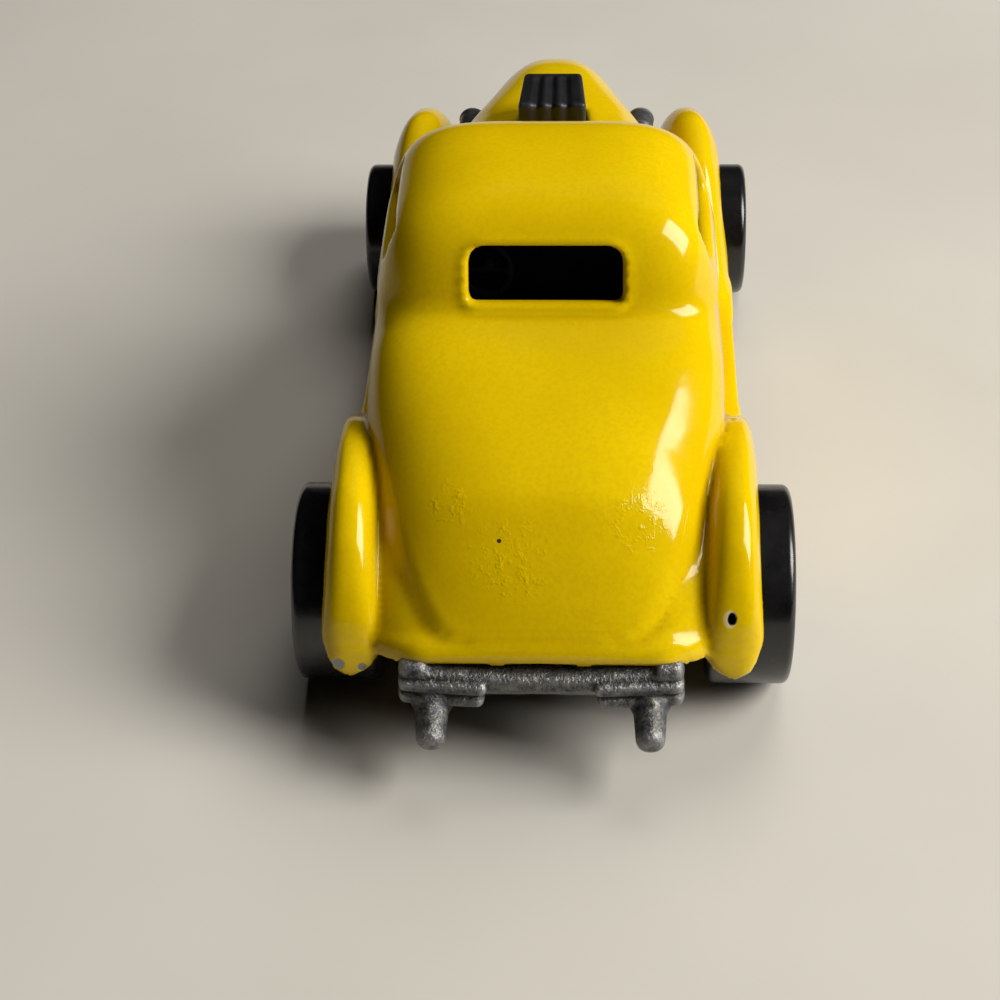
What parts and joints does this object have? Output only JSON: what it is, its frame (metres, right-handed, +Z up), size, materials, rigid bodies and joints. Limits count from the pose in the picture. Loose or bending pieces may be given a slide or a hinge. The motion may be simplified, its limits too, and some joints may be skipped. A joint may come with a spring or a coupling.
{
  "type": "toy car",
  "caption": "Small die-cast toy hot rod coupe with a hollow painted body on a cast base, hood scoop and free-rolling wheels on wire axles.",
  "frame": {"origin": "on the ground under the middle of the car's length and width", "axes": "+Y to the nose, +X to the car's right side, +Z up"},
  "size_m": [0.0318, 0.0661, 0.0272],
  "materials": {
    "yellow_paint": "gloss",
    "bare_zinc": "satin",
    "dark_metal": "satin",
    "steel_wire": "satin",
    "black_moulding": "satin",
    "black_tyre": "gloss",
    "black_hub": "gloss"
  },
  "bodies": {
    "body": {"body_shell": "yellow_paint", "chassis_base": "bare_zinc", "interior_tub": "black_moulding", "engine_scoop": "black_moulding", "grille_insert": "dark_metal", "headlight_left": "dark_metal", "headlight_right": "dark_metal", "front_rivet": "bare_zinc", "rear_rivet": "bare_zinc"},
    "front_axle": {"front_axle": "steel_wire"},
    "rear_axle": {"rear_axle": "steel_wire"},
    "wheel_front_left": {"tyre_front_left": "black_tyre", "hub_front_left": "black_hub"},
    "wheel_front_right": {"tyre_front_right": "black_tyre", "hub_front_right": "black_hub"},
    "wheel_rear_left": {"tyre_rear_left": "black_tyre", "hub_rear_left": "black_hub"},
    "wheel_rear_right": {"tyre_rear_right": "black_tyre", "hub_rear_right": "black_hub"}
  },
  "joints": [
    {"name": "front_axle_spin", "type": "hinge", "parent": "body", "child": "front_axle", "pos_m": [0, 0.02447, 0.0052], "axis": [1, 0, 0], "continuous": true},
    {"name": "rear_axle_spin", "type": "hinge", "parent": "body", "child": "rear_axle", "pos_m": [0, -0.01973, 0.0065], "axis": [1, 0, 0], "continuous": true},
    {"name": "wheel_front_left_spin", "type": "hinge", "parent": "front_axle", "child": "wheel_front_left", "pos_m": [0, 0.02447, 0.0052], "axis": [1, 0, 0], "continuous": true},
    {"name": "wheel_front_right_spin", "type": "hinge", "parent": "front_axle", "child": "wheel_front_right", "pos_m": [0, 0.02447, 0.0052], "axis": [1, 0, 0], "continuous": true},
    {"name": "wheel_rear_left_spin", "type": "hinge", "parent": "rear_axle", "child": "wheel_rear_left", "pos_m": [0, -0.01973, 0.0065], "axis": [1, 0, 0], "continuous": true},
    {"name": "wheel_rear_right_spin", "type": "hinge", "parent": "rear_axle", "child": "wheel_rear_right", "pos_m": [0, -0.01973, 0.0065], "axis": [1, 0, 0], "continuous": true}
  ]
}
